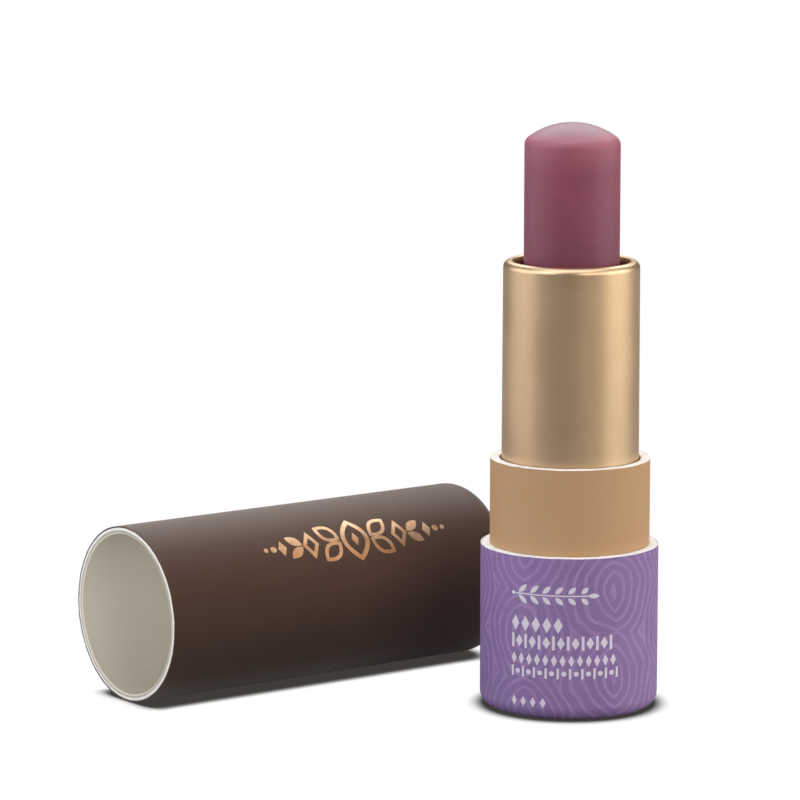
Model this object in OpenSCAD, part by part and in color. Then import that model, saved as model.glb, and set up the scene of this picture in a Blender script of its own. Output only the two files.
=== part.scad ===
// Twist-up lip balm stick in a paper tube, standing open with its cap lying beside it.
// +Z runs up the stick, and the origin is the centre of the base's underside.

/* [Balm] */
// Diameter of the balm, as cast in its mould
balm_d = 12.1; // [11:0.1:12.8]
// Length of the whole balm, with the part that sits in the cup
balm_len = 32; // [28:0.5:36]
// How far the balm stands out of the metal shell as shown
balm_show = 17.4; // [14:0.1:22]
// Radius of the low dome on the balm's tip
tip_dome_r = 9.3; // [8:0.1:14]
// Radius of the shoulder round the tip
tip_shoulder_r = 1.2; // [0.6:0.1:2.4]

/* [Cup] */
// Wall of the cup that carries the balm
cup_wall = 0.5; // [0.4:0.05:0.8]
// Thickness of the cup's floor
cup_floor = 1; // [0.6:0.1:1.6]
// How deep the balm sits in the cup
cup_depth = 8; // [6:0.5:11]
// Diameter of the two lugs on the cup
lug_d = 1.6; // [1.2:0.1:2]
// Height of the lugs above the cup's underside
lug_rise = 2.3; // [1.8:0.1:4]

/* [Twist mechanism] */
// Rise of the balm in one full turn of the shell
lead = 20; // [16:0.5:26]
// Travel of the balm down from the place shown
travel_down = 18.9; // [16:0.1:20]
// Travel of the balm up from the place shown
travel_up = 5.5; // [3:0.1:6]
// Wall of the slotted carrier
carrier_wall = 0.5; // [0.4:0.05:0.8]
// Thickness of the carrier's floor
carrier_floor = 1; // [0.6:0.1:1.6]
// How far the carrier goes down into its insert
carrier_foot = 6; // [4:0.5:9]
// Thickness of the collar and of the snap ring on the carrier
collar_t = 0.5; // [0.3:0.05:0.7]
// Overhang of the snap ring that keeps the sleeve on the carrier
snap_lip = 0.35; // [0.2:0.05:0.5]
// Wall of the spiral sleeve
sleeve_wall = 0.9; // [0.8:0.05:1.2]
// Length of the sleeve above its grooves
groove_end_wall = 3; // [2:0.1:3.5]
// Depth of the spiral grooves in the sleeve
groove_depth = 0.5; // [0.35:0.05:0.6]
// Thickness of the insert's outer skirt and of its floor
insert_wall = 1.1; // [0.8:0.1:1.5]

/* [Metal shell] */
// Thickness of the shell's metal
shell_wall = 0.43; // [0.3:0.01:0.6]
// Growth of the shell's outside radius from its rim to its lower end
shell_taper = 0.1; // [0:0.01:0.15]
// Height of the shell above the paper neck
shell_show = 25.1; // [22:0.1:28]
// How deep the shell goes into the paper neck
shell_depth = 8; // [6:0.5:9]
// Outside radius of the rolled rim
rim_roll = 0.9; // [0.7:0.05:1.2]
// Radius of the rim's inner edge, which is also the thickness of its turned-in lip
rim_lip = 0.4; // [0.3:0.05:0.5]
// Depth of the turned-in lip below the rim
rim_lip_depth = 1.1; // [1:0.05:1.4]

/* [Paper tubes] */
// Height of the paper base
base_h = 20.9; // [18:0.1:26]
// Height of the paper neck above the base
neck_show = 11; // [9:0.1:14]
// Thickness of the neck's board
neck_board = 1; // [0.8:0.05:1.4]
// Thickness of the base's board
base_board = 1.1; // [0.8:0.05:1.4]
// Thickness of the printed paper round each tube
wrap_t = 0.2; // [0.16:0.01:0.26]
// Outside radius of the curled end of the base and of the cap
curl_r = 1.8; // [1.6:0.05:2.4]
// Depth that the curl is pressed flat where it stands
curl_flat = 0.06; // [0.03:0.01:0.08]
// Thickness of the end discs
disc_t = 1.2; // [0.8:0.1:1.8]
// Slit where the two edges of a paper wrap meet
wrap_seam = 0.15; // [0.1:0.05:0.3]

/* [Cap] */
// Length of the cap
cap_len = 53.7; // [48:0.1:60]
// Thickness of the cap's paper lining
liner_t = 0.2; // [0.16:0.01:0.26]
// Place of the lying cap's mouth along X
cap_mouth_x = -45.5; // [-60:0.1:-40]
// Place of the lying cap's axis along Y
cap_y = 33.5; // [30:0.1:48]

/* [Clearances] */
// Radial gap of a glued or pressed joint
glue_fit = 0.05; // [0.02:0.01:0.08]
// Radial gap of the cup in the carrier, and of a lug in its slot
slide_fit = 0.1; // [0.05:0.01:0.12]
// Radial gap of the sleeve that turns on the carrier
turn_fit = 0.05; // [0.03:0.01:0.08]
// Gap of a lug in its groove
groove_fit = 0.12; // [0.1:0.01:0.2]
// Gap between the end faces that turn on each other
end_fit = 0.1; // [0.05:0.01:0.15]
// Radial gap between the metal shell and the paper neck
neck_gap = 0.22; // [0.15:0.01:0.3]
// Radial gap between the paper neck and the cap
cap_fit = 0.15; // [0.1:0.01:0.25]

/* [Hidden] */
$fn = 96;
EPS = 0.01;

// Radii, from the balm outwards
balm_r = balm_d / 2;
cup_in = balm_r + glue_fit;
cup_r = cup_in + cup_wall;
carrier_in = cup_r + slide_fit;
carrier_r = carrier_in + carrier_wall;
sleeve_in = carrier_r + turn_fit;
sleeve_r = sleeve_in + sleeve_wall;
shell_in = sleeve_r + glue_fit;
shell_r = shell_in + shell_wall;
shell_low_r = shell_r + shell_taper;
neck_in = shell_low_r + neck_gap;
neck_board_r = neck_in + neck_board;
neck_r = neck_board_r + wrap_t;
base_in = neck_board_r + glue_fit;
base_board_r = base_in + base_board;
base_r = base_board_r + wrap_t;
cap_in = neck_r + cap_fit;
cap_r = base_r;

// Heights, from the surface that the base stands on
curl_z = curl_r - curl_flat;
disc_top = curl_z + disc_t;
neck_top = base_h + neck_show;
shell_top = neck_top + shell_show;
shell_low = neck_top - shell_depth;
insert_top = shell_low - end_fit - collar_t;
carrier_low = insert_top - carrier_foot;
tip_z = shell_top + balm_show;
balm_low = tip_z - balm_len;
cup_low = balm_low - cup_floor;
cup_top = balm_low + cup_depth;
lug_z = cup_low + lug_rise;
lug_min_z = lug_z - travel_down;
lug_max_z = lug_z + travel_up;
groove_low = lug_min_z - lug_d / 2 - groove_fit;
groove_top = lug_max_z + lug_d / 2 + groove_fit;
sleeve_top = groove_top + groove_end_wall;
snap_z = sleeve_top + end_fit;
carrier_top = snap_z + collar_t;

// The spiral: its slope at the lug's tip, and the part of a turn that one groove takes
groove_r = sleeve_in + groove_depth;
lug_tip_r = groove_r - slide_fit;
groove_slope = atan(lead / (2 * PI * lug_tip_r));
groove_arc = 360 * (lug_d + 2 * groove_fit) / cos(groove_slope) / lead;
groove_overrun = 0.8;
// How finely the groove is drawn: degrees for each slice, points along its floor, and sides
groove_step = 12;
groove_points = 6;
groove_sides = 4;

// Directions in which the paper wraps are joined, away from the front
base_seam_dir = 50;
neck_seam_dir = 62;
cap_seam_dir = 120;

// A plain tube between two heights
module tube(r_in, r_out, low, top) {
    translate([0, 0, low])
        difference() {
            cylinder(r = r_out, h = top - low);
            translate([0, 0, -EPS])
                cylinder(r = r_in, h = top - low + 2 * EPS);
        }
}

// Half section of one ply of a tube with a curled end: a straight wall, then half a turn inwards.
// depth is how far the ply lies under the tube's outside.
module curled_ply(tube_r, depth, thick, top) {
    curl_x = tube_r - curl_r;
    translate([tube_r - depth - thick, curl_z])
        square([thick, top - curl_z]);
    intersection() {
        translate([curl_x, curl_z])
            difference() {
                circle(r = curl_r - depth);
                circle(r = curl_r - depth - thick);
            }
        translate([curl_x - curl_r, 0])
            square([2 * curl_r, curl_z]);
    }
}

// The slit between the two edges of a paper wrap
module seam_slit(dir, tube_r, top) {
    rotate([0, 0, dir])
        translate([0, -wrap_seam / 2, -EPS])
            cube([tube_r + EPS, wrap_seam, top + 2 * EPS]);
}

// Puts a piece of the cap, drawn standing on its closed end, where the cap lies: mouth towards -X
module lay_cap() {
    translate([cap_mouth_x + cap_len, cap_y, cap_r])
        rotate([0, -90, 0])
            children();
}

// Base: a board tube with its lower end curled in
module base_tube() {
    color("white")
        rotate_extrude()
            curled_ply(base_r, wrap_t, base_board, base_h);
}

// Printed paper round the base, turned in with the curl
module base_wrap() {
    color("mediumpurple")
        difference() {
            rotate_extrude()
                curled_ply(base_r, 0, wrap_t, base_h);
            seam_slit(base_seam_dir, base_r, base_h);
        }
}

// Board disc that closes the base, resting on the curl
module base_end_disc() {
    color("mediumpurple")
        translate([0, 0, curl_z])
            cylinder(r = base_in - glue_fit, h = disc_t);
}

// Neck: a board tube glued into the base, which the cap slides over
module neck_tube() {
    color("white")
        tube(neck_in, neck_board_r, disc_top, neck_top);
}

// Plain paper round the part of the neck that stands above the base
module neck_wrap() {
    color("burlywood")
        difference() {
            tube(neck_board_r, neck_r, base_h, neck_top);
            seam_slit(neck_seam_dir, neck_r, neck_top);
        }
}

// Moulded insert glued into the neck: a skirt that stands on the disc, and a socket for the carrier
module mechanism_insert() {
    insert_r = neck_in - glue_fit;
    socket_floor = carrier_low - insert_wall;
    color("dimgray")
        difference() {
            translate([0, 0, disc_top])
                cylinder(r = insert_r, h = insert_top - disc_top);
            translate([0, 0, disc_top - EPS])
                cylinder(r = insert_r - insert_wall, h = socket_floor - disc_top + EPS);
            translate([0, 0, carrier_low])
                cylinder(r = carrier_r + glue_fit, h = carrier_foot + EPS);
        }
}

// Carrier: a closed-ended tube with two upright slots, a collar below the sleeve and a snap ring above it
module slotted_carrier() {
    slot_w = lug_d + 2 * slide_fit;
    slot_low = lug_min_z - slot_w / 2;
    slot_h = lug_max_z - lug_min_z + slot_w;
    color("saddlebrown")
        difference() {
            union() {
                translate([0, 0, carrier_low])
                    cylinder(r = carrier_r, h = carrier_top - carrier_low);
                translate([0, 0, insert_top])
                    cylinder(r = sleeve_r, h = collar_t);
                translate([0, 0, snap_z])
                    cylinder(r = carrier_r + snap_lip, h = collar_t);
            }
            translate([0, 0, carrier_low + carrier_floor])
                cylinder(r = carrier_in, h = carrier_top - carrier_low);
            translate([-sleeve_r, -slot_w / 2, slot_low])
                cube([2 * sleeve_r, slot_w, slot_h]);
        }
}

// Section of one spiral groove, from well inside the sleeve's bore out to the groove's floor
module groove_section() {
    inner_r = sleeve_in - groove_overrun;
    arc = [for (i = [0 : groove_points]) groove_arc * (i / groove_points - 0.5)];
    polygon(concat(
        [for (a = arc) groove_r * [cos(a), sin(a)]],
        [for (a = [groove_arc / 2, -groove_arc / 2]) inner_r * [cos(a), sin(a)]]
    ));
}

// Sleeve: turns with the shell, and its two right-hand grooves drive the cup's lugs up and down
module spiral_sleeve() {
    groove_h = groove_top - groove_low;
    turn = 360 * groove_h / lead;
    start = 360 * (groove_low - lug_z) / lead;
    slices = ceil(turn / groove_step);
    color("peru")
        difference() {
            tube(sleeve_in, sleeve_r, shell_low, sleeve_top);
            for (side = [0, 180])
                rotate([0, 0, side + start])
                    translate([0, 0, groove_low])
                        linear_extrude(height = groove_h, twist = -turn, slices = slices, $fn = groove_sides)
                            groove_section();
        }
}

// Shell: drawn metal tube with its rim rolled in and its lip turned down
module gold_shell() {
    roll_x = shell_r - rim_roll;
    roll_z = shell_top - rim_roll;
    lip_z = shell_top - rim_lip;
    color("darkkhaki")
        rotate_extrude() {
            polygon([[shell_in, shell_low], [shell_low_r, shell_low], [shell_r, roll_z], [shell_in, roll_z]]);
            intersection() {
                translate([roll_x, roll_z])
                    difference() {
                        circle(r = rim_roll);
                        circle(r = rim_roll - shell_wall);
                    }
                translate([roll_x, roll_z])
                    square(rim_roll);
            }
            intersection() {
                translate([roll_x, lip_z])
                    circle(r = rim_lip);
                translate([roll_x - rim_lip, lip_z])
                    square(rim_lip);
            }
            translate([roll_x - rim_lip, shell_top - rim_lip_depth])
                square([rim_lip, rim_lip_depth - rim_lip]);
        }
}

// Cup that holds the balm, with a lug on either side that reaches through the carrier into the sleeve
module balm_cup() {
    color("saddlebrown") {
        difference() {
            translate([0, 0, cup_low])
                cylinder(r = cup_r, h = cup_top - cup_low);
            translate([0, 0, balm_low])
                cylinder(r = cup_in, h = cup_depth + EPS);
        }
        for (side = [0, 180])
            rotate([0, 0, side])
                translate([cup_in + cup_wall / 2, 0, lug_z])
                    rotate([0, 90, 0])
                        cylinder(d = lug_d, h = lug_tip_r - cup_in - cup_wall / 2);
    }
}

// Balm: a cast bar with a low domed tip and a round shoulder
module balm_stick() {
    dome_z = tip_z - tip_dome_r;
    shoulder_x = balm_r - tip_shoulder_r;
    shoulder_z = dome_z + sqrt(pow(tip_dome_r - tip_shoulder_r, 2) - pow(shoulder_x, 2));
    shoulder_dir = [shoulder_x, shoulder_z - dome_z] / (tip_dome_r - tip_shoulder_r);
    color("rosybrown")
        rotate_extrude() {
            translate([0, balm_low])
                square([balm_r, shoulder_z - balm_low]);
            intersection() {
                translate([shoulder_x, shoulder_z])
                    circle(r = tip_shoulder_r);
                translate([0, shoulder_z])
                    square([balm_r, tip_shoulder_r]);
            }
            intersection() {
                translate([0, dome_z])
                    circle(r = tip_dome_r);
                polygon([
                    [0, shoulder_z],
                    [shoulder_x, shoulder_z],
                    [shoulder_x, shoulder_z] + 2 * tip_shoulder_r * shoulder_dir,
                    [0, tip_z + tip_shoulder_r]
                ]);
            }
        }
}

// Cap: a board tube with its closed end curled in
module cap_tube() {
    color("white")
        lay_cap()
            rotate_extrude()
                curled_ply(cap_r, wrap_t, cap_r - wrap_t - liner_t - cap_in, cap_len);
}

// Dark paper round the cap, turned in with the curl
module cap_wrap() {
    color("dimgray")
        lay_cap()
            difference() {
                rotate_extrude()
                    curled_ply(cap_r, 0, wrap_t, cap_len);
                seam_slit(cap_seam_dir, cap_r, cap_len);
            }
}

// Pale paper lining of the cap, from the end disc to the mouth
module cap_liner() {
    color("gainsboro")
        lay_cap()
            tube(cap_in, cap_in + liner_t, disc_top, cap_len);
}

// Board disc that closes the cap, resting on the curl
module cap_end_disc() {
    color("dimgray")
        lay_cap()
            translate([0, 0, curl_z])
                cylinder(r = cap_in + liner_t - glue_fit, h = disc_t);
}

base_tube();
base_wrap();
base_end_disc();
neck_tube();
neck_wrap();
mechanism_insert();
slotted_carrier();
spiral_sleeve();
gold_shell();
balm_cup();
balm_stick();
cap_tube();
cap_wrap();
cap_liner();
cap_end_disc();
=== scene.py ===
from math import cos, pi, radians, sin, sqrt

import bmesh
import bpy
from mathutils import Matrix, Vector, noise


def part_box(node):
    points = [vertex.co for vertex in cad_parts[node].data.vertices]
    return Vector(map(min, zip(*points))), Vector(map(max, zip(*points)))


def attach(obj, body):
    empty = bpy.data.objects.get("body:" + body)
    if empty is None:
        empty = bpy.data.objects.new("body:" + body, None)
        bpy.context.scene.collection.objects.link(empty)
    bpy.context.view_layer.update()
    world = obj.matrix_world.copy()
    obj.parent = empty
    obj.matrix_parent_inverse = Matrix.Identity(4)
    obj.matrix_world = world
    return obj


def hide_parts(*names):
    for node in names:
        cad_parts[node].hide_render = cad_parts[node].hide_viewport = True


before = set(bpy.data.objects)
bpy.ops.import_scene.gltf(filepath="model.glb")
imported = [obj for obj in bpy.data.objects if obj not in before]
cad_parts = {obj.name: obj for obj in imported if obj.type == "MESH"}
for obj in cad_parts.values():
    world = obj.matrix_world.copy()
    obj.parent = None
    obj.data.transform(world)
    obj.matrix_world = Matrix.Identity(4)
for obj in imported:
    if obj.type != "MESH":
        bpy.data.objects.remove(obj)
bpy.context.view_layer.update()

# Base tube: white board rolled into a short tube and cut square at the top, where its edge shows
# as a white ring. Its lower end is curled in half a turn and pressed flat where it stands.
MM = 0.001
base_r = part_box("base_wrap")[1].x
base_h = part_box("base_wrap")[1].z
wrap_t = base_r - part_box("base_tube")[1].x
disc_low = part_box("base_end_disc")[0].z
curl_r = 1.8 * MM
curl_share = 0.995
base_board = 1.1 * MM
board_round = 0.12 * MM
turn_steps, bevel_step = 320, 0.25 * MM
on_axis, weld = 0.001 * MM, 0.0001 * MM
cut_depth, cut_reach, cut_wave = 0.09 * MM, 0.15 * MM, 1.3 * MM
sharp_deg = 38
board_white = (0.85, 0.84, 0.81)
board_shade = (0.6, 0.58, 0.55)
# The darker board colour below is painted shade on the inner part of the cap's cut edge, next to the lining,
# with a ragged, blurred border.
board_in_shade = (0.44, 0.41, 0.35)
shade_ragged, shade_blur = 0.2 * MM, 0.06 * MM


def turned(section, slit=0.0, seam_deg=0.0):
    """A bmesh turned about Z from its half section, a list of (radius, height, rounding of that corner).
    With a slit, the turn stops short by that angle and leaves a seam, its middle at seam_deg."""
    bm = bmesh.new()
    corners = [bm.verts.new((r, 0, z)) for r, z, _ in section]
    bm.faces.new(corners)
    for corner, (_, _, rounding) in zip(corners, section):
        if rounding:
            bmesh.ops.bevel(
                bm, geom=[corner], offset=rounding, offset_type="OFFSET", profile=0.5, material=-1,
                segments=3 + int(rounding / bevel_step), affect="VERTICES",
            )
    if not slit:
        bmesh.ops.delete(bm, geom=bm.faces[:], context="FACES_ONLY")
        axis_edges = [e for e in bm.edges if max(v.co.x for v in e.verts) < on_axis]
        bmesh.ops.delete(bm, geom=axis_edges, context="EDGES")
    bmesh.ops.spin(
        bm, geom=bm.verts[:] + bm.edges[:] + bm.faces[:], cent=(0, 0, 0), axis=(0, 0, 1), dvec=(0, 0, 0),
        angle=2 * pi - slit, steps=turn_steps, use_merge=not slit, use_duplicate=False,
    )
    start = Matrix.Rotation(radians(seam_deg) + slit / 2, 3, "Z")
    bmesh.ops.rotate(bm, cent=(0, 0, 0), matrix=start, verts=bm.verts)
    bmesh.ops.remove_doubles(bm, verts=bm.verts, dist=weld)
    bmesh.ops.recalc_face_normals(bm, faces=bm.faces[:])
    return bm


def curled_section(tube_r, depth, thick, curl_z, top, edge_round):
    """Half section of one ply of a curled tube; depth is how far the ply lies under the tube's outside.
    The curl's roundings take nearly all of its radius (curl_share), so that no edge shrinks to nothing."""
    middle = tube_r - curl_r
    outer, inner = curl_r - depth, curl_r - depth - thick
    outer_low, inner_low = max(0, curl_z - outer), curl_z - inner
    outer_round, inner_round = curl_share * (curl_z - outer_low), curl_share * inner
    return [
        (middle + outer, top, edge_round), (middle + outer, outer_low, outer_round),
        (middle - outer, outer_low, outer_round), (middle - outer, curl_z, 0),
        (middle - inner, curl_z, 0), (middle - inner, inner_low, inner_round),
        (middle + inner, inner_low, inner_round), (middle + inner, top, edge_round),
    ]


def cut_unevenly(bm, top, seed):
    """Lowers a cut edge a little here and there, as a blade leaves paper and board. Plies that were cut
    together have one seed."""
    for v in bm.verts:
        if v.co.z > top - cut_reach:
            place = Vector((v.co.x, v.co.y, seed * MM)) / cut_wave
            v.co.z -= cut_depth * (0.5 + 0.35 * noise.noise(place) + 0.3 * noise.noise(place * 3.1))


def finish_piece(name, bm, body, nodes, materials, material_of=None):
    """Makes a bmesh into a named piece that rides on its body and stands for its CAD nodes."""
    if material_of:
        for face in bm.faces:
            face.material_index = material_of(face)
    mesh = bpy.data.meshes.new(name)
    bm.to_mesh(mesh)
    bm.free()
    mesh.shade_smooth()
    mesh.set_sharp_from_angle(angle=radians(sharp_deg))
    for material in materials:
        mesh.materials.append(material)
    piece = bpy.data.objects.new(name, mesh)
    bpy.context.scene.collection.objects.link(piece)
    even = piece.modifiers.new("even_shading", "WEIGHTED_NORMAL")
    even.keep_sharp = True
    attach(piece, body)
    if nodes:
        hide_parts(*nodes)
    return piece


def add(tree, kind, inputs=None, **settings):
    """Adds a shader node; an input is a plain value or the socket that feeds it."""
    made = tree.nodes.new("ShaderNode" + kind)
    for key, value in settings.items():
        setattr(made, key, value)
    for key, value in (inputs or {}).items():
        socket = made.inputs[key]
        if isinstance(value, bpy.types.NodeSocket):
            tree.links.new(value, socket)
        else:
            socket.default_value = value
    return made


def calc(tree, operation, *values):
    """A Math node's result."""
    return add(tree, "Math", dict(enumerate(values)), operation=operation).outputs[0]


def ramp(tree, value, low, high, out_low=0.0, out_high=1.0):
    """A smooth step of a value between two limits."""
    limits = {"Value": value, "From Min": low, "From Max": high, "To Min": out_low, "To Max": out_high}
    return add(tree, "MapRange", limits, interpolation_type="SMOOTHSTEP").outputs["Result"]


def blend_colour(tree, factor, a, b):
    """One colour mixed with another; a colour is a plain one or a socket."""
    mix = add(tree, "Mix", data_type="RGBA")
    for key, value in (("Factor_Float", factor), ("A_Color", a), ("B_Color", b)):
        socket = next(s for s in mix.inputs if s.identifier == key)
        if isinstance(value, bpy.types.NodeSocket):
            tree.links.new(value, socket)
        else:
            socket.default_value = (*value, 1) if isinstance(value, tuple) else value
    return next(s for s in mix.outputs if s.identifier == "Result_Color")


def speckle(tree, vector, size, detail=3.0, roughness=0.55, distortion=0.0):
    """Noise from 0 to 1 whose grains are about size across."""
    inputs = {
        "Vector": vector, "Scale": 1 / size, "Detail": detail, "Roughness": roughness,
        "Distortion": distortion,
    }
    return add(tree, "TexNoise", inputs).outputs["Fac"]


def new_group(name, inputs, outputs):
    """An empty shader group: inputs are {name: start value or None for a vector}, outputs are names."""
    tree = bpy.data.node_groups.new(name, "ShaderNodeTree")
    for label, value in inputs.items():
        kind = "NodeSocketVector" if value is None else "NodeSocketFloat"
        socket = tree.interface.new_socket(label, in_out="INPUT", socket_type=kind)
        if value is not None:
            socket.default_value = value
    for label in outputs:
        tree.interface.new_socket(label, in_out="OUTPUT", socket_type="NodeSocketFloat")
    return tree, tree.nodes.new("NodeGroupInput").outputs, tree.nodes.new("NodeGroupOutput").inputs


def make_fibres():
    """Group: the cloudy tone of paper, and the small relief of its fibres."""
    tree, given, result = new_group("paper_fibres", {"Place": None, "Grain": 0.3 * MM}, ["Tone", "Relief"])
    place = given["Place"]
    size = add(tree, "VectorMath", {0: place}, operation="SCALE")
    tree.links.new(calc(tree, "DIVIDE", 1.0, given["Grain"]), size.inputs["Scale"])
    grains = size.outputs[0]
    fine = speckle(tree, grains, 1.0, detail=3.0, roughness=0.6)
    strands = speckle(tree, grains, 0.6, detail=2.0, roughness=0.5, distortion=1.8)
    clouds = speckle(tree, place, 6 * MM, detail=2.0)
    tone = calc(tree, "ADD", calc(tree, "MULTIPLY", fine, 0.45), calc(tree, "MULTIPLY", clouds, 0.55))
    relief = calc(tree, "ADD", calc(tree, "MULTIPLY", fine, 0.5), calc(tree, "MULTIPLY", strands, 0.5))
    tree.links.new(ramp(tree, tone, 0.3, 0.7), result["Tone"])
    tree.links.new(relief, result["Relief"])
    return tree


fibres_group = make_fibres()


def use_group(tree, group, inputs):
    """Puts a group into a material with its own values and returns its outputs."""
    return add(tree, "Group", inputs, node_tree=group).outputs


def new_material(name, **constants):
    """A material with one Principled shader; constants go straight onto its sockets. Returns the
    material, its tree, the shader and the place in the object's own coordinates."""
    material = bpy.data.materials.new(name)
    material.use_nodes = True
    tree = material.node_tree
    shader = tree.nodes["Principled BSDF"]
    for key, value in constants.items():
        shader.inputs[key.replace("_", " ")].default_value = value
    place = add(tree, "TexCoord").outputs["Object"]
    return material, tree, shader, place


def bump(tree, shader, height, depth):
    """Feeds a height from 0 to 1 to the shader as relief of that depth."""
    made = add(tree, "Bump", {"Height": height, "Distance": depth})
    tree.links.new(made.outputs["Normal"], shader.inputs["Normal"])


def make_board(name, ring_in_shade=None):
    """Cut board: off-white, with loose fibres and a soft, chalky surface. In a tube along X, the last
    argument is (y, z, radius) of the tube's middle and of the inner part of the cut, which gets painted
    shade."""
    material, tree, shader, place = new_material(name, Specular_IOR_Level=0.25)
    fibres = use_group(tree, fibres_group, {"Place": place, "Grain": 0.22 * MM})
    dirt = speckle(tree, place, 1.4 * MM, detail=4.0)
    shade = calc(tree, "MULTIPLY", ramp(tree, dirt, 0.45, 0.7), 0.45)
    shade = calc(tree, "ADD", shade, calc(tree, "MULTIPLY", fibres["Tone"], 0.18))
    colour = blend_colour(tree, shade, board_white, board_shade)
    # Painted shade: the inner part of the cut, next to the lining, is darkened as if it lay in shade.
    if ring_in_shade:
        xyz = add(tree, "SeparateXYZ", {0: place}).outputs
        y, z = (calc(tree, "SUBTRACT", xyz[axis], middle) for axis, middle in zip("YZ", ring_in_shade))
        squares = calc(tree, "ADD", calc(tree, "MULTIPLY", y, y), calc(tree, "MULTIPLY", z, z))
        ragged = calc(tree, "MULTIPLY_ADD", dirt, shade_ragged, -shade_ragged / 2)
        out = calc(tree, "ADD", calc(tree, "SQRT", squares), ragged)
        painted_shade_mask = ramp(tree, out, ring_in_shade[2] - shade_blur, ring_in_shade[2] + shade_blur, 1.0, 0.0)
        colour = blend_colour(tree, painted_shade_mask, colour, board_in_shade)
    tree.links.new(colour, shader.inputs["Base Color"])
    tree.links.new(ramp(tree, fibres["Relief"], 0.2, 0.8, 0.75, 0.95), shader.inputs["Roughness"])
    bump(tree, shader, fibres["Relief"], 0.09 * MM)
    return material


white_board = make_board("white_board")
base_tube = turned(curled_section(base_r, wrap_t, base_board, disc_low, base_h, board_round))
cut_unevenly(base_tube, base_h, seed=1)
finish_piece("base_tube", base_tube, "base", ["base_tube"], [white_board])

# Base wrap: purple paper printed with a pale leaf lattice, glued round the base and turned in with
# its curl. Its two edges meet at the back, and its white core shows where it is cut at the top.
wrap_slit = 0.15 * MM
base_seam_deg = 52
paper_round = 0.05 * MM
purple = (0.236, 0.144, 0.346)
purple_line = (0.345, 0.222, 0.462)
purple_rubbed = (0.43, 0.33, 0.53)
rub_past = 0.6 * MM
lattice_columns = 6
lattice_rise = 11 * MM
leaf_width, leaf_height = 4.0, 5.4
lattice_gap, lattice_line = 1.25, 0.34
lattice_drift = 0.16


def make_leaf_distance():
    """Group: how far a place lies from the ribs of the nearest leaf in one column of the lattice, in mm.
    Around and Up count columns and rows; every other column is dropped by half a row."""
    inputs = {"Around": 0.0, "Up": 0.0, "Column": 0.0}
    tree, given, result = new_group("leaf_distance", inputs, ["Distance"])
    column = calc(tree, "ADD", calc(tree, "FLOOR", given["Around"]), given["Column"])
    across = calc(tree, "SUBTRACT", calc(tree, "SUBTRACT", given["Around"], column), 0.5)
    drop = calc(tree, "FRACT", calc(tree, "MULTIPLY", column, 0.5))
    along = calc(tree, "SUBTRACT", calc(tree, "FRACT", calc(tree, "ADD", given["Up"], drop)), 0.5)
    column_mm = 2 * pi * base_r / lattice_columns / MM
    side_offset = (leaf_height**2 - leaf_width**2) / (2 * leaf_width)
    x = calc(tree, "MULTIPLY_ADD", calc(tree, "ABSOLUTE", across), column_mm, side_offset)
    y = calc(tree, "MULTIPLY", along, lattice_rise / MM)
    squares = calc(tree, "ADD", calc(tree, "MULTIPLY", x, x), calc(tree, "MULTIPLY", y, y))
    tree.links.new(calc(tree, "SQRT", squares), result["Distance"])
    return tree


def make_rubbed_edge():
    """Group: a ragged mask that is 1 at the two ends of a tube, where handling rubs the colour off."""
    inputs = {"Place": None, "Along": 0.0, "Low": 0.0, "High": 1.0, "Width": 0.3 * MM}
    tree, given, result = new_group("rubbed_edge", inputs, ["Mask"])
    ragged = speckle(tree, given["Place"], 0.9 * MM, detail=5.0, roughness=0.65)
    from_low = calc(tree, "SUBTRACT", given["Along"], given["Low"])
    from_high = calc(tree, "SUBTRACT", given["High"], given["Along"])
    nearest = calc(tree, "DIVIDE", calc(tree, "MINIMUM", from_low, from_high), given["Width"])
    reach = calc(tree, "MULTIPLY_ADD", ragged, 3.0, -1.0)
    tree.links.new(ramp(tree, calc(tree, "SUBTRACT", reach, nearest), -0.2, 0.5), result["Mask"])
    return tree


leaf_distance = make_leaf_distance()
rubbed_edge = make_rubbed_edge()


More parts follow.
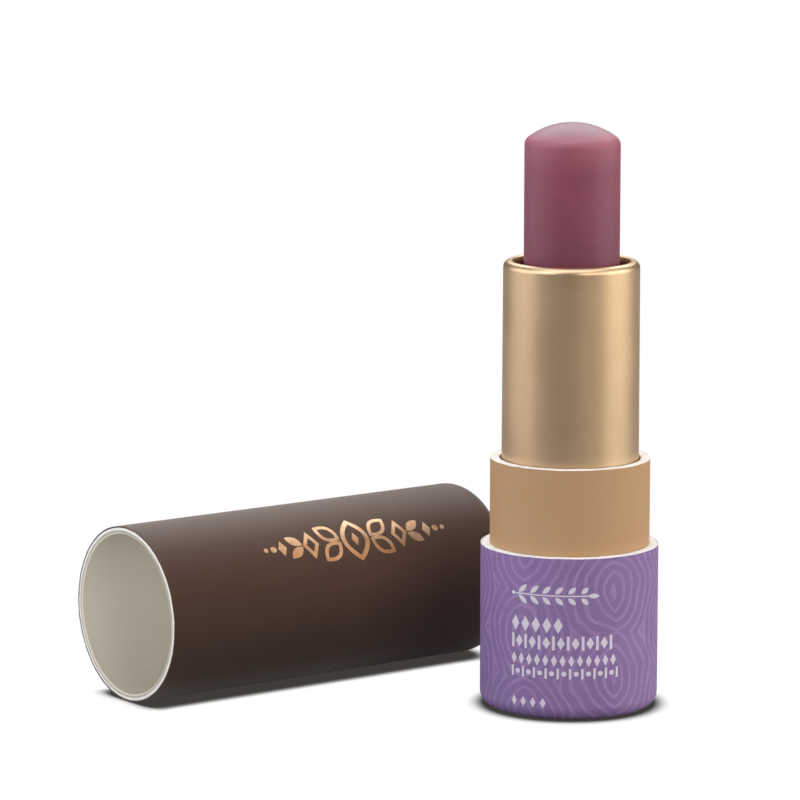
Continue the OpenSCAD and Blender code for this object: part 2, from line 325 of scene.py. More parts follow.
def make_purple_paper(name, with_lattice):
    """Matte purple paper, with or without the lattice printed on it tone on tone."""
    material, tree, shader, place = new_material(name, Specular_IOR_Level=0.3)
    fibres = use_group(tree, fibres_group, {"Place": place, "Grain": 0.28 * MM})
    colour = blend_colour(tree, calc(tree, "MULTIPLY", fibres["Tone"], 0.16), purple, purple_rubbed)
    if with_lattice:
        turn = {"Vector": place, "Rotation": (0, 0, radians(-base_seam_deg - 180))}
        xyz = add(tree, "SeparateXYZ", {0: add(tree, "Mapping", turn).outputs[0]}).outputs
        drift = calc(tree, "MULTIPLY_ADD", speckle(tree, place, 5 * MM, detail=1.0), lattice_drift,
                     -lattice_drift / 2)
        angle = calc(tree, "ARCTAN2", xyz["Y"], xyz["X"])
        around = calc(tree, "MULTIPLY_ADD", angle, lattice_columns / (2 * pi), drift)
        up = calc(tree, "MULTIPLY_ADD", xyz["Z"], 1 / lattice_rise, drift)
        near = None
        for column in (-1.0, 0.0, 1.0):
            one = use_group(tree, leaf_distance, {"Around": around, "Up": up, "Column": column})["Distance"]
            near = one if near is None else calc(tree, "MINIMUM", near, one)
        ring = calc(tree, "FRACT", calc(tree, "DIVIDE", near, lattice_gap))
        from_middle = calc(tree, "ABSOLUTE", calc(tree, "SUBTRACT", ring, 0.5))
        off_line = calc(tree, "MULTIPLY", from_middle, lattice_gap)
        line = ramp(tree, off_line, lattice_line * 0.35, lattice_line * 0.85, 1.0, 0.0)
        worn = ramp(tree, speckle(tree, place, 2.5 * MM), 0.3, 0.7, 0.55, 1.0)
        colour = blend_colour(tree, calc(tree, "MULTIPLY", line, worn), colour, purple_line)
    ends = {"Place": place, "Along": add(tree, "SeparateXYZ", {0: place}).outputs["Z"]}
    ends |= {"Low": -rub_past, "High": base_h, "Width": 0.22 * MM}
    rub = calc(tree, "MULTIPLY", use_group(tree, rubbed_edge, ends)["Mask"], 0.55)
    tree.links.new(blend_colour(tree, rub, colour, purple_rubbed), shader.inputs["Base Color"])
    tree.links.new(ramp(tree, fibres["Relief"], 0.2, 0.8, 0.5, 0.66), shader.inputs["Roughness"])
    bump(tree, shader, fibres["Relief"], 0.012 * MM)
    return material


purple_paper = make_purple_paper("purple_printed_paper", True)


def cut_face(top):
    """Picks the second material for faces that look up out of a cut at the top."""
    low = top - 2 * cut_depth
    return lambda face: int(face.calc_center_median().z > low and face.normal.z > 0.5)


base_wrap = turned(
    curled_section(base_r, 0, wrap_t, disc_low, base_h, paper_round),
    slit=wrap_slit / base_r, seam_deg=base_seam_deg,
)
cut_unevenly(base_wrap, base_h, seed=2)
finish_piece("base_wrap", base_wrap, "base", ["base_wrap"], [purple_paper, white_board],
             material_of=cut_face(base_h))

# Pale print on the base: a leaf sprig over rows of small figures, laid on the purple paper as thick
# screen ink. It is a plain ornament in the middle of the front, ranged on a left margin, drawn in mm.
ink_t = 0.012 * MM
ink_strip = 0.45 * MM
margin_deg = 192.4
pale_lilac = (0.72, 0.655, 0.745)
stem_y, stem_length, stem_width = 16.1, 10.4, 0.16
leaf_pairs, first_leaf_x, leaf_step = 6, 1.65, 1.62
leaf_out, leaf_slim, leaf_shrink, leaf_lean_deg = 0.68, 0.62, 0.09, 42
lozenge_sides, dot_sides, leaf_sides = 4, 12, 20


def figure(bm, sides, x, y, width, height, turn=0.0, pointed=False):
    """A flat figure in mm: a round, or with 4 sides a lozenge, drawn as a leaf if it is pointed."""
    round_edge = bmesh.ops.create_circle(bm, cap_ends=True, segments=sides, radius=1)["verts"]
    if pointed:
        for v in round_edge:
            v.co.y *= abs(v.co.y)
    place = Matrix.Translation((x, y, 0)) @ Matrix.Rotation(radians(turn), 4, "Z")
    bmesh.ops.transform(bm, matrix=place @ Matrix.Diagonal((width / 2, height / 2, 1, 1)), verts=round_edge)
    return round_edge


def bar(bm, x, y, width, height):
    """A flat bar in mm, about its middle."""
    corners = bmesh.ops.create_grid(bm, x_segments=1, y_segments=1, size=0.5)["verts"]
    place = Matrix.Translation((x, y, 0)) @ Matrix.Diagonal((width, height, 1, 1))
    bmesh.ops.transform(bm, matrix=place, verts=corners)


def row(bm, count, start, step, y, width, height, sides=0):
    """A level row of equal figures in mm, or of upright bars if they have no sides."""
    for x in (start + step * place for place in range(count)):
        if sides:
            figure(bm, sides, x, y, width, height)
        else:
            bar(bm, x, y, width, height)


def film(bm, tube_r, thick):
    """Gives a flat drawing in mm its thickness and rolls it on a tube about Z, x going round and y up."""
    bmesh.ops.scale(bm, vec=(MM, MM, MM), verts=bm.verts)
    low, high = min(v.co.x for v in bm.verts), max(v.co.x for v in bm.verts)
    for strip in range(1, int((high - low) / ink_strip) + 1):
        bmesh.ops.bisect_plane(
            bm, geom=bm.verts[:] + bm.edges[:] + bm.faces[:], plane_co=(low + strip * ink_strip, 0, 0),
            plane_no=(1, 0, 0), dist=weld,
        )
    bmesh.ops.recalc_face_normals(bm, faces=bm.faces[:])
    lid = bmesh.ops.extrude_face_region(bm, geom=bm.faces[:])["geom"]
    bmesh.ops.translate(bm, vec=(0, 0, thick), verts=[v for v in lid if isinstance(v, bmesh.types.BMVert)])
    bmesh.ops.translate(bm, vec=(0, 0, -thick / 2), verts=bm.verts)
    bmesh.ops.recalc_face_normals(bm, faces=bm.faces[:])
    for v in bm.verts:
        r, angle = tube_r + v.co.z, v.co.x / tube_r
        v.co = (r * cos(angle), r * sin(angle), v.co.y)


def make_ink():
    """Flat screen ink, a little uneven where the paper's grain comes through."""
    material, tree, shader, place = new_material("pale_ink", Roughness=0.55)
    fibres = use_group(tree, fibres_group, {"Place": place, "Grain": 0.3 * MM})
    thin = calc(tree, "MULTIPLY", ramp(tree, fibres["Relief"], 0.5, 0.75), 0.3)
    tree.links.new(blend_colour(tree, thin, pale_lilac, purple_rubbed), shader.inputs["Base Color"])
    bump(tree, shader, fibres["Relief"], 0.01 * MM)
    return material


label = bmesh.new()
bar(label, stem_length / 2, stem_y, stem_length, stem_width)
for pair in range(leaf_pairs):
    x = first_leaf_x + leaf_step * pair
    reach = leaf_step - leaf_shrink * pair
    for side in (1, -1):
        figure(label, leaf_sides, x, stem_y + side * leaf_out, reach, leaf_slim,
               turn=side * leaf_lean_deg, pointed=True)
figure(label, leaf_sides, stem_length + 0.5, stem_y, 1.5, leaf_slim, pointed=True)
figure(label, dot_sides, 0.25, stem_y, 0.5, 0.5)
row(label, count=5, start=0.6, step=1.45, y=12.3, width=1.15, height=2.0, sides=lozenge_sides)
row(label, count=8, start=0.25, step=1.86, y=10.05, width=0.36, height=1.8)
row(label, count=7, start=1.18, step=1.86, y=10.05, width=1.0, height=1.6, sides=lozenge_sides)
row(label, count=13, start=0.4, step=1.1, y=7.8, width=0.78, height=1.5, sides=lozenge_sides)
row(label, count=10, start=0.2, step=1.55, y=6.15, width=0.3, height=1.35)
row(label, count=9, start=0.97, step=1.55, y=6.15, width=0.66, height=0.66, sides=dot_sides)
row(label, count=4, start=0.45, step=1.35, y=2.3, width=0.8, height=1.3, sides=lozenge_sides)
film(label, base_r, ink_t)
label.transform(Matrix.Rotation(radians(margin_deg), 4, "Z"))
finish_piece("base_print", label, "base", [], [make_ink()])

# Base end disc: a board disc covered in the same purple paper, pushed into the base from above
# until it rests on the curl. It is seen from below, set back inside the ring that the base stands on.
disc_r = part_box("base_end_disc")[1].x
disc_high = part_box("base_end_disc")[1].z


def disc_section(r, low, high):
    """Half section of a disc with softened edges."""
    return [(0, low, 0), (r, low, paper_round), (r, high, paper_round), (0, high, 0)]


purple_plain = make_purple_paper("purple_plain_paper", False)
base_disc = turned(disc_section(disc_r, disc_low, disc_high))
finish_piece("base_end_disc", base_disc, "base", ["base_end_disc"], [purple_plain])

# Neck tube: a longer board tube glued into the base, which the cap slides over. Only its cut top
# edge shows, as a white ring round the metal shell.
neck_board_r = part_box("neck_tube")[1].x
neck_low, neck_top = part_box("neck_tube")[0].z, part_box("neck_tube")[1].z
neck_board = 1.0 * MM
neck_tube = turned([
    (neck_board_r, neck_low, 0), (neck_board_r, neck_top, paper_round),
    (neck_board_r - neck_board, neck_top, board_round), (neck_board_r - neck_board, neck_low, 0),
])
cut_unevenly(neck_tube, neck_top, seed=3)
finish_piece("neck_tube", neck_tube, "base", ["neck_tube"], [white_board])

# Neck wrap: plain tan paper glued round the neck, with its seam at the back. It is matte and
# a little smoother than the board under it.
neck_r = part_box("neck_wrap")[1].x
neck_seam_deg = 64
tan = (0.5, 0.295, 0.15)
tan_worn = (0.66, 0.49, 0.35)


def make_plain_paper(name, colour, worn, ends, roughness, grain, specular, rub_share=0.5, sheen=0.0):
    """Plain dyed paper on a tube; ends are (axis, low, high) of the tube, where the colour rubs off."""
    material, tree, shader, place = new_material(
        name, Specular_IOR_Level=specular, Sheen_Weight=sheen, Sheen_Roughness=0.4
    )
    fibres = use_group(tree, fibres_group, {"Place": place, "Grain": grain})
    cloudy = blend_colour(tree, calc(tree, "MULTIPLY", fibres["Tone"], 0.1), colour, worn)
    axis, low, high = ends
    along = add(tree, "SeparateXYZ", {0: place}).outputs[axis]
    edge = {"Place": place, "Along": along, "Low": low, "High": high, "Width": 0.2 * MM}
    rub = calc(tree, "MULTIPLY", use_group(tree, rubbed_edge, edge)["Mask"], rub_share)
    tree.links.new(blend_colour(tree, rub, cloudy, worn), shader.inputs["Base Color"])
    smooth = ramp(tree, fibres["Relief"], 0.2, 0.8, roughness - 0.06, roughness + 0.08)
    tree.links.new(smooth, shader.inputs["Roughness"])
    bump(tree, shader, fibres["Relief"], 0.014 * MM)
    return material


tan_ends = ("Z", base_h - 1 * MM, neck_top)
tan_paper = make_plain_paper("tan_paper", tan, tan_worn, tan_ends, roughness=0.6, grain=0.26 * MM,
                             specular=0.22)
neck_section = [
    (neck_r, base_h, 0), (neck_r, neck_top, paper_round),
    (neck_board_r, neck_top, 0), (neck_board_r, base_h, 0),
]
neck_wrap = turned(neck_section, slit=wrap_slit / neck_r, seam_deg=neck_seam_deg)
cut_unevenly(neck_wrap, neck_top, seed=3)
finish_piece("neck_wrap", neck_wrap, "base", ["neck_wrap"], [tan_paper, white_board],
             material_of=cut_face(neck_top))

# Twist mechanism: insert, slotted carrier, spiral sleeve and balm cup, all moulded in brown plastic.
# Only the top of the carrier shows, between the balm and the metal rim.
plastic_brown = (0.1, 0.04, 0.022)
plastic_worn = (0.16, 0.075, 0.045)


def make_plastic():
    """Moulded plastic: nearly smooth, with a faint flow pattern and slight gloss changes."""
    material, tree, shader, place = new_material("brown_moulded_plastic", Specular_IOR_Level=0.45)
    flow = speckle(tree, place, 3.5 * MM, detail=2.0, distortion=1.0)
    grain = speckle(tree, place, 0.16 * MM, detail=2.0)
    tree.links.new(blend_colour(tree, ramp(tree, flow, 0.35, 0.75), plastic_brown, plastic_worn),
                   shader.inputs["Base Color"])
    tree.links.new(ramp(tree, flow, 0.3, 0.7, 0.34, 0.48), shader.inputs["Roughness"])
    bump(tree, shader, grain, 0.004 * MM)
    return material


brown_plastic = make_plastic()
for moulding in ("mechanism_insert", "slotted_carrier", "spiral_sleeve", "balm_cup"):
    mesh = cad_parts[moulding].data
    mesh.materials.clear()
    mesh.materials.append(brown_plastic)

# Metal shell: aluminium drawn into a thin tube, its rim rolled in and its lip turned down, then
# blasted to a fine satin and anodised gold. It is pressed on the spiral sleeve and turns with it.
shell_low, shell_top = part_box("gold_shell")[0].z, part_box("gold_shell")[1].z
shell_low_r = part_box("gold_shell")[1].x
shell_taper = 0.1 * MM
shell_wall = 0.43 * MM
rim_roll, rim_lip, rim_lip_depth = 0.9 * MM, 0.4 * MM, 1.1 * MM
metal_round, lip_round = 0.05 * MM, 0.08 * MM
gold = (0.63, 0.43, 0.255)
gold_bright = (0.72, 0.53, 0.34)


def make_gold():
    """Satin gold: the blasted grain sparkles a little, and handling has left it slightly uneven."""
    material, tree, shader, place = new_material("satin_gold", Metallic=1.0)
    grain = speckle(tree, place, 0.13 * MM, detail=2.5, roughness=0.6)
    coarse = speckle(tree, place, 0.42 * MM, detail=2.0)
    cloud = speckle(tree, place, 9 * MM, detail=3.0)
    mix = calc(tree, "ADD", calc(tree, "MULTIPLY", ramp(tree, grain, 0.3, 0.75), 0.5),
               calc(tree, "MULTIPLY", ramp(tree, cloud, 0.3, 0.7), 0.3))
    tree.links.new(blend_colour(tree, mix, gold, gold_bright), shader.inputs["Base Color"])
    rough = calc(tree, "ADD", ramp(tree, cloud, 0.3, 0.7, 0.35, 0.4), ramp(tree, grain, 0.3, 0.7, 0.0, 0.05))
    tree.links.new(rough, shader.inputs["Roughness"])
    bump(tree, shader, calc(tree, "ADD", grain, calc(tree, "MULTIPLY", coarse, 0.6)), 0.006 * MM)
    return material


satin_gold = make_gold()
shell_r = shell_low_r - shell_taper
roll_x = shell_r - rim_roll
shell_in = shell_r - shell_wall
gold_shell = turned([
    (shell_low_r, shell_low, metal_round), (shell_r, shell_top, rim_roll),
    (roll_x - rim_lip, shell_top, rim_lip), (roll_x - rim_lip, shell_top - rim_lip_depth, lip_round),
    (roll_x, shell_top - rim_lip_depth, metal_round), (roll_x, shell_top - shell_wall, 0),
    (shell_in, shell_top - shell_wall, rim_roll - shell_wall), (shell_in, shell_low, 0),
])
finish_piece("gold_shell", gold_shell, "shell", ["gold_shell"], [satin_gold])

# Balm: a bar of pink-mauve wax and butter, cast in a polished mould with a low domed tip. Its skin
# is waxy and a little cloudy. Painted highlights make it lighter and paler on the dome, and painted
# shade makes it darker low down.
balm_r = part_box("balm_stick")[1].x
balm_low, tip_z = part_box("balm_stick")[0].z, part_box("balm_stick")[1].z
tip_dome_r, tip_shoulder_r = 9.3 * MM, 1.2 * MM
dome_steps, shoulder_steps, side_cuts, bar_steps = 14, 8, 24, 160
balm_mauve = (0.255, 0.066, 0.11)
balm_rose = (0.285, 0.072, 0.108)
# Three of these colours are painted light: a lighter pink and a pale mauve are highlights on the dome, and a
# darker mauve is shade low down.
balm_crown_light = (0.44, 0.155, 0.2)
balm_low_shade = (0.19, 0.052, 0.086)
balm_dome_highlight = (0.215, 0.17, 0.195)


def make_balm():
    """Wax: light sinks in a little. Painted shade makes it darker low down and painted highlights lighter
    near the dome, and soft clouds and small pits break up the gloss."""
    material, tree, shader, place = new_material(
        "mauve_balm", Subsurface_Weight=0.45, Subsurface_Radius=(1.0, 0.42, 0.36),
        Subsurface_Scale=0.9 * MM, Specular_IOR_Level=0.38,
    )
    height = add(tree, "SeparateXYZ", {0: place}).outputs["Z"]
    clouds = speckle(tree, place, 4 * MM, detail=3.0, distortion=0.6)
    grain = speckle(tree, place, 0.35 * MM, detail=3.0)
    colour = blend_colour(tree, ramp(tree, clouds, 0.3, 0.7), balm_mauve, balm_rose)
    # Painted shade: the balm is darker low down, near the shell's rim.
    low_shade = ramp(tree, height, shell_top - 1 * MM, shell_top + 12 * MM, 0.7, 0.0)
    colour = blend_colour(tree, low_shade, colour, balm_low_shade)
    # Painted highlights: a lighter pink near the dome, and paler still on its top.
    crown = calc(tree, "ADD", height, calc(tree, "MULTIPLY", clouds, 1.1 * MM))
    crown_light = ramp(tree, crown, tip_z - 6 * MM, tip_z - 1.4 * MM, 0.0, 0.45)
    colour = blend_colour(tree, crown_light, colour, balm_crown_light)
    dome_highlight = calc(tree, "MULTIPLY", ramp(tree, crown, tip_z - 1.9 * MM, tip_z + 0.1 * MM), 0.65)
    tree.links.new(blend_colour(tree, dome_highlight, colour, balm_dome_highlight), shader.inputs["Base Color"])
    tree.links.new(ramp(tree, clouds, 0.3, 0.7, 0.42, 0.55), shader.inputs["Roughness"])
    skin = calc(tree, "ADD", calc(tree, "MULTIPLY", clouds, 0.8), calc(tree, "MULTIPLY", grain, 0.2))
    bump(tree, shader, skin, 0.05 * MM)
    return material


def arc(bm, start, centre, angle, steps):
    """Sweeps a vertex round a centre in the XZ plane and returns the last vertex of the arc."""
    swept = bmesh.ops.spin(bm, geom=[start], cent=centre, axis=(0, 1, 0), dvec=(0, 0, 0), angle=angle,
                           steps=steps, use_merge=False, use_duplicate=False)
    return next(v for v in swept["geom_last"] if isinstance(v, bmesh.types.BMVert))


mauve_balm = make_balm()
shoulder_x = balm_r - tip_shoulder_r
dome_z = tip_z - tip_dome_r
shoulder_z = dome_z + sqrt((tip_dome_r - tip_shoulder_r) ** 2 - shoulder_x**2)
dome_angle = Vector((0, tip_z - dome_z)).angle(Vector((shoulder_x, shoulder_z - dome_z)))
balm = bmesh.new()
rim = arc(balm, balm.verts.new((0, 0, tip_z)), (0, 0, dome_z), dome_angle, dome_steps)
rim = arc(balm, rim, (shoulder_x, 0, shoulder_z), pi / 2 - dome_angle, shoulder_steps)
for place in ((balm_r, 0, balm_low), (0, 0, balm_low)):
    rim = bmesh.ops.extrude_vert_indiv(balm, verts=[rim])["verts"][0]
    rim.co = place
long_side = max(balm.edges, key=lambda edge: edge.calc_length())
bmesh.ops.subdivide_edges(balm, edges=[long_side], cuts=side_cuts)
bmesh.ops.spin(balm, geom=balm.verts[:] + balm.edges[:], cent=(0, 0, 0), axis=(0, 0, 1), dvec=(0, 0, 0),
               angle=2 * pi, steps=bar_steps, use_merge=True, use_duplicate=False)
bmesh.ops.remove_doubles(balm, verts=balm.verts, dist=weld)
bmesh.ops.recalc_face_normals(balm, faces=balm.faces[:])
finish_piece("balm_stick", balm, "balm", ["balm_stick"], [mauve_balm])

# Cap tube: white board rolled like the base but longer, cut square at the mouth and curled in at
# the closed end. It is made standing on its closed end and then laid down, mouth towards -X.
cap_low, cap_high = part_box("cap_wrap")
cap_len = cap_high.x - cap_low.x
cap_y = (cap_high.y + cap_low.y) / 2
# How far the painted shade on the mouth's cut edge reaches out from the lining.
shaded_ring_width = 0.27 * MM


def lying_radius(node):
    """Radius of a round piece that lies along X."""
    low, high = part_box(node)
    return (high.y - low.y) / 2


cap_r, liner_r = lying_radius("cap_wrap"), lying_radius("cap_liner")
cap_board = cap_r - wrap_t - liner_r
lay_cap = Matrix.Translation((cap_high.x, cap_y, cap_r)) @ Matrix.Rotation(-pi / 2, 4, "Y")
cap_tube = turned(curled_section(cap_r, wrap_t, cap_board, disc_low, cap_len, board_round / 2))
cut_unevenly(cap_tube, cap_len, seed=5)
cap_tube.transform(lay_cap)
# The cut edge at the mouth gets painted shade next to the lining.
board_painted_shade = make_board("board_painted_shade", (cap_y, cap_r, liner_r + shaded_ring_width))
finish_piece("cap_tube", cap_tube, "cap", ["cap_tube"], [board_painted_shade])

# Cap wrap: dark brown uncoated paper glued round the cap and turned in with its curl, with its seam
# low at the back. Its surface has a slight sheen along the top and is rubbed pale at the mouth.
cap_seam_deg = 120
brown = (0.082, 0.044, 0.029)
brown_worn = (0.13, 0.09, 0.072)
brown_ends = ("X", cap_low.x, cap_high.x + rub_past)
brown_paper = make_plain_paper("brown_paper", brown, brown_worn, brown_ends, roughness=0.6,
                               grain=0.34 * MM, specular=0.16, rub_share=0.35, sheen=0.42)
cap_wrap = turned(
    curled_section(cap_r, 0, wrap_t, disc_low, cap_len, paper_round),
    slit=wrap_slit / cap_r, seam_deg=cap_seam_deg,
)
cut_unevenly(cap_wrap, cap_len, seed=5)
cap_wrap.transform(lay_cap)
finish_piece("cap_wrap", cap_wrap, "cap", ["cap_wrap"], [brown_paper])

# Copper foil on the cap: a plain ornament stamped along the side, an open leaf in the middle with
# leaves, lozenges and dots running out on both sides. It is drawn in mm and rolled on like the print.
foil_t = 0.012 * MM
foil_line, foil_thin_line = 0.64, 0.512
foil_middle_x, foil_angle_deg = -15.4 * MM, 43
copper = (0.82, 0.55, 0.335)
copper_dark = (0.7, 0.39, 0.21)


def make_foil():
    """Hot-stamped foil: bright metal, thin in places and grained by the paper under it."""
    material, tree, shader, place = new_material("copper_foil", Metallic=1.0)
    fibres = use_group(tree, fibres_group, {"Place": place, "Grain": 0.3 * MM})
    patch = ramp(tree, speckle(tree, place, 1.6 * MM, detail=3.0), 0.35, 0.7)
    tree.links.new(blend_colour(tree, patch, copper, copper_dark), shader.inputs["Base Color"])
    tree.links.new(ramp(tree, fibres["Relief"], 0.2, 0.8, 0.3, 0.45), shader.inputs["Roughness"])
    bump(tree, shader, fibres["Relief"], 0.012 * MM)
    return material


def outline(bm, verts, line):
    """Keeps only a line of that width along the edge of a flat figure."""
    face = next(f for f in bm.faces if set(f.verts) == set(verts))
    bmesh.ops.inset_region(bm, faces=[face], thickness=line, use_boundary=True, use_even_offset=True)
    bmesh.ops.delete(bm, geom=[face], context="FACES_ONLY")


foil = bmesh.new()
outline(foil, figure(foil, 36, 0, 0, 6.4, 4.2, turn=90, pointed=True), foil_line)
figure(foil, lozenge_sides, 0, 0, 1.1, 2.0)
for side in (1, -1):
    for lean in (1, -1):
        leaf = figure(foil, 28, side * 3.95, lean * 1.35, 4.0, 2.5, turn=side * lean * 38, pointed=True)
        outline(foil, leaf, foil_thin_line)
        figure(foil, 24, side * 9.4, lean * 0.85, 2.6, 1.3, turn=side * lean * 34, pointed=True)
    outline(foil, figure(foil, lozenge_sides, side * 7.0, 0, 2.5, 4.2), foil_thin_line)
    figure(foil, lozenge_sides, side * 11.45, 0, 1.3, 2.3)
    figure(foil, 16, side * 12.85, 0, 0.92, 0.92)
    figure(foil, 14, side * 14.0, 0, 0.68, 0.68)
foil.transform(Matrix.Rotation(-pi / 2, 4, "Z"))
film(foil, cap_r, foil_t)
spot = Matrix.Rotation(radians(foil_angle_deg - 90), 4, "Z")
spot.translation.z = cap_high.x - foil_middle_x
foil.transform(lay_cap @ spot)
finish_piece("cap_foil", foil, "cap", [], [make_foil()])

# Cap lining: a smooth pale paper tube inside the cap, from the end disc to the mouth.
# It stiffens the cap and slides over the neck.
liner_low = cap_high.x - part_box("cap_liner")[1].x
lining_t = 0.2 * MM
lining_in = liner_r - lining_t
lining = (0.76, 0.71, 0.61)
lining_worn = (0.82, 0.79, 0.72)
lining_ends = ("X", cap_low.x, cap_high.x)
lining_paper = make_plain_paper("lining_paper", lining, lining_worn, lining_ends, roughness=0.55,
                                grain=0.3 * MM, specular=0.35, rub_share=0.0)
cap_liner = turned([
    (liner_r, liner_low, 0), (liner_r, cap_len, 0),
    (lining_in, cap_len, 0.95 * lining_t), (lining_in, liner_low, 0),
])
cut_unevenly(cap_liner, cap_len, seed=5)
cap_liner.transform(lay_cap)
finish_piece("cap_liner", cap_liner, "cap", ["cap_liner"], [lining_paper])

# Cap end disc: a board disc covered in the dark paper, which closes the cap and rests on its curl.
# It is seen from inside the cap and, set back in the curl, from behind.
cap_disc_low = cap_high.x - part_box("cap_end_disc")[1].x
cap_disc_high = cap_high.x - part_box("cap_end_disc")[0].x
cap_disc = turned(disc_section(lying_radius("cap_end_disc"), cap_disc_low, cap_disc_high))
for face in cap_disc.faces:
    face.material_index = int(face.normal.z > 0.5)
cap_disc.transform(lay_cap)
finish_piece("cap_end_disc", cap_disc, "cap", ["cap_end_disc"], [brown_paper, lining_paper])

# Studio: a white floor and surround, softboxes at both sides, overhead and behind, and a grey card in
# front that keeps the middle of the metal dark. As the photograph lights the stick from its sides and
# the cap from above, a few lamps reach only the stick, the cap's outside, or its lining and cut edge.
camera_place = Vector((-372.658, -470.963, 138.509)) * MM
camera_forward = Vector((0.583967, 0.795151, -0.163454))
camera_right = Vector((0.806198, -0.591641, 0.002138))
camera_lens = 216.38
stick_middle = Vector((0, 0, 35 * MM))
floor_half = 3.0
contact_reach = 2.5 * MM
contact_full, contact_gone = 0.38, 0.98
contact_dark = (0.05, 0.046, 0.042)
white = (1.0, 1.0, 1.0)
surround_grey = (0.05, 0.05, 0.052)
floor_grey = (0.26, 0.26, 0.26, 1.0)
card_grey = (0.06, 0.06, 0.06, 1.0)
card_away, card_half_deg, card_foot_z, card_height = 0.95, 58, 0.02, 0.75


def seen_light_path(tree):
    """1 for rays from the camera, which see the plain white background."""
    return add(tree, "LightPath").outputs["Is Camera Ray"]


def make_floor_material():
    """White to the camera apart from the shadow at the object's feet, and plain grey paper to the lamps."""
    material, tree, shader, _ = new_material("floor_white", Base_Color=floor_grey, Roughness=0.9)
    open_sky = add(tree, "AmbientOcclusion", {"Distance": contact_reach}, samples=24).outputs["AO"]
    shade = blend_colour(tree, ramp(tree, open_sky, contact_full, contact_gone), contact_dark, white)
    glow = add(tree, "Emission", {"Color": shade}).outputs[0]
    mix = add(tree, "MixShader", {0: seen_light_path(tree), 1: shader.outputs[0], 2: glow}).outputs[0]
    tree.links.new(mix, tree.nodes["Material Output"].inputs["Surface"])
    return material


def studio_piece(name, bm, material):
    """Makes a bmesh into an object of the studio, which isn't a piece of the stick."""
    mesh = bpy.data.meshes.new(name)
    bm.to_mesh(mesh)
    bm.free()
    mesh.materials.append(material)
    made = bpy.data.objects.new(name, mesh)
    bpy.context.scene.collection.objects.link(made)
    return made


sheet = bmesh.new()
bmesh.ops.create_grid(sheet, x_segments=1, y_segments=1, size=floor_half)
floor = studio_piece("floor", sheet, make_floor_material())


def towards(turn_deg, rise_deg):
    """A direction from the stick, turned to the right of the camera and raised above the floor."""
    level = Vector((-camera_forward.x, -camera_forward.y, 0)).normalized()
    level = Matrix.Rotation(radians(turn_deg), 3, "Z") @ level
    return level * cos(radians(rise_deg)) + Vector((0, 0, sin(radians(rise_deg))))


def softbox(name, turn_deg, rise_deg, distance, width, height, power, colour, reaches=None):
    """A rectangular lamp that faces the stick and isn't seen by the camera. It lights only the pieces
    that it reaches, or everything if none are given."""
    light = bpy.data.lights.new(name, "AREA")
    light.shape, light.size, light.size_y = "RECTANGLE", width, height
    light.energy, light.color = power, colour
    lamp = bpy.data.objects.new(name, light)
    direction = towards(turn_deg, rise_deg)
    lamp.location = stick_middle + direction * distance
    lamp.rotation_euler = direction.to_track_quat("Z", "Y").to_euler()
    lamp.visible_camera = False
    bpy.context.scene.collection.objects.link(lamp)
    if reaches:
        lit = bpy.data.collections.new(name + "_reaches")
        for piece in reaches:
            lit.objects.link(piece)
        lamp.light_linking.receiver_collection = lit


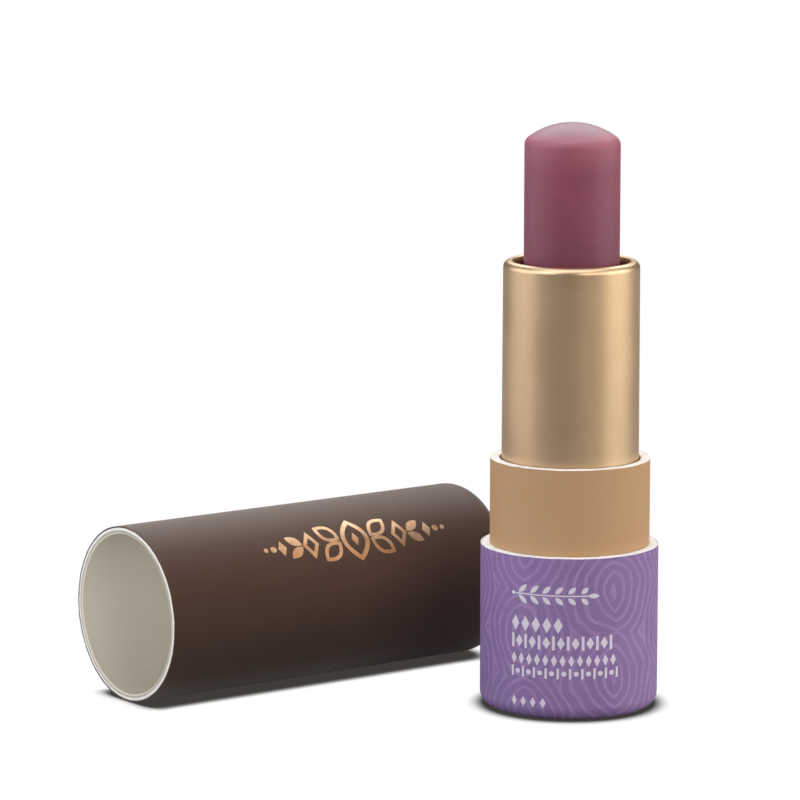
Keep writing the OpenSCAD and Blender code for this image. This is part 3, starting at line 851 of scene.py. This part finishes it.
meshes = [piece for piece in bpy.data.objects if piece.type == "MESH"]
beside_cap = [piece for piece in meshes if not piece.name.startswith("cap_")]
inside_cap = [piece for piece in meshes if piece.name.startswith(("cap_liner", "cap_end_disc", "cap_tube"))]
outside_cap = [piece for piece in meshes if not piece.name.startswith(("cap_liner", "cap_end_disc"))]
cap_itself = [piece for piece in outside_cap if piece not in beside_cap]
softbox("right_softbox", turn_deg=84, rise_deg=12, distance=0.64, width=0.66, height=0.62, power=3.8,
        colour=(1.0, 0.98, 0.93), reaches=beside_cap)
softbox("left_softbox", turn_deg=-92, rise_deg=12, distance=0.66, width=0.7, height=0.62, power=2.85,
        colour=(0.97, 0.97, 1.0))
softbox("top_softbox", turn_deg=0, rise_deg=84, distance=0.75, width=0.8, height=0.8, power=4.8,
        colour=(0.99, 0.98, 1.0), reaches=outside_cap)
softbox("cap_top_light", turn_deg=0, rise_deg=84, distance=0.75, width=0.8, height=0.8, power=4.6,
        colour=(0.99, 0.98, 1.0), reaches=cap_itself)
softbox("back_softbox", turn_deg=176, rise_deg=42, distance=0.9, width=0.9, height=0.3, power=4.8,
        colour=(0.97, 0.99, 1.0), reaches=outside_cap)
softbox("front_fill", turn_deg=30, rise_deg=24, distance=0.7, width=0.4, height=0.3, power=1.2,
        colour=(1.0, 0.96, 0.88))
softbox("left_fill", turn_deg=-50, rise_deg=36, distance=0.8, width=0.4, height=0.4, power=2.25,
        colour=(0.93, 0.96, 1.0), reaches=beside_cap)
softbox("mouth_fill", turn_deg=-22, rise_deg=10, distance=0.6, width=0.2, height=0.2, power=1.6,
        colour=white, reaches=inside_cap)

world = bpy.data.worlds.new("surround")
bpy.context.scene.world = world
world.use_nodes = True
backdrop = world.node_tree
surround = blend_colour(backdrop, seen_light_path(backdrop), surround_grey, white)
backdrop.links.new(surround, backdrop.nodes["Background"].inputs["Color"])

card_material, _, _, _ = new_material("grey_card", Base_Color=card_grey, Roughness=0.95)
card = bmesh.new()
foot = card.verts.new(towards(-card_half_deg, 0) * card_away + Vector((0, 0, card_foot_z)))
head = card.verts.new(foot.co + Vector((0, 0, card_height)))
bmesh.ops.spin(
    card, geom=[foot, head, card.edges.new((foot, head))], cent=(0, 0, 0), axis=(0, 0, 1),
    dvec=(0, 0, 0), angle=radians(2 * card_half_deg), steps=24, use_merge=False, use_duplicate=False,
)
grey_card = studio_piece("grey_card", card, card_material)
grey_card.visible_camera = False

camera_data = bpy.data.cameras.new("camera")
camera_data.lens = camera_lens
camera_data.sensor_width = 36
camera_data.clip_start, camera_data.clip_end = 0.05, 20
camera = bpy.data.objects.new("camera", camera_data)
camera_up = camera_right.cross(camera_forward)
camera.matrix_world = Matrix.Translation(camera_place) @ Matrix(
    (camera_right, camera_up, -camera_forward)
).transposed().to_4x4()
bpy.context.scene.collection.objects.link(camera)
bpy.context.scene.camera = camera
bpy.context.scene.view_settings.view_transform = "Standard"
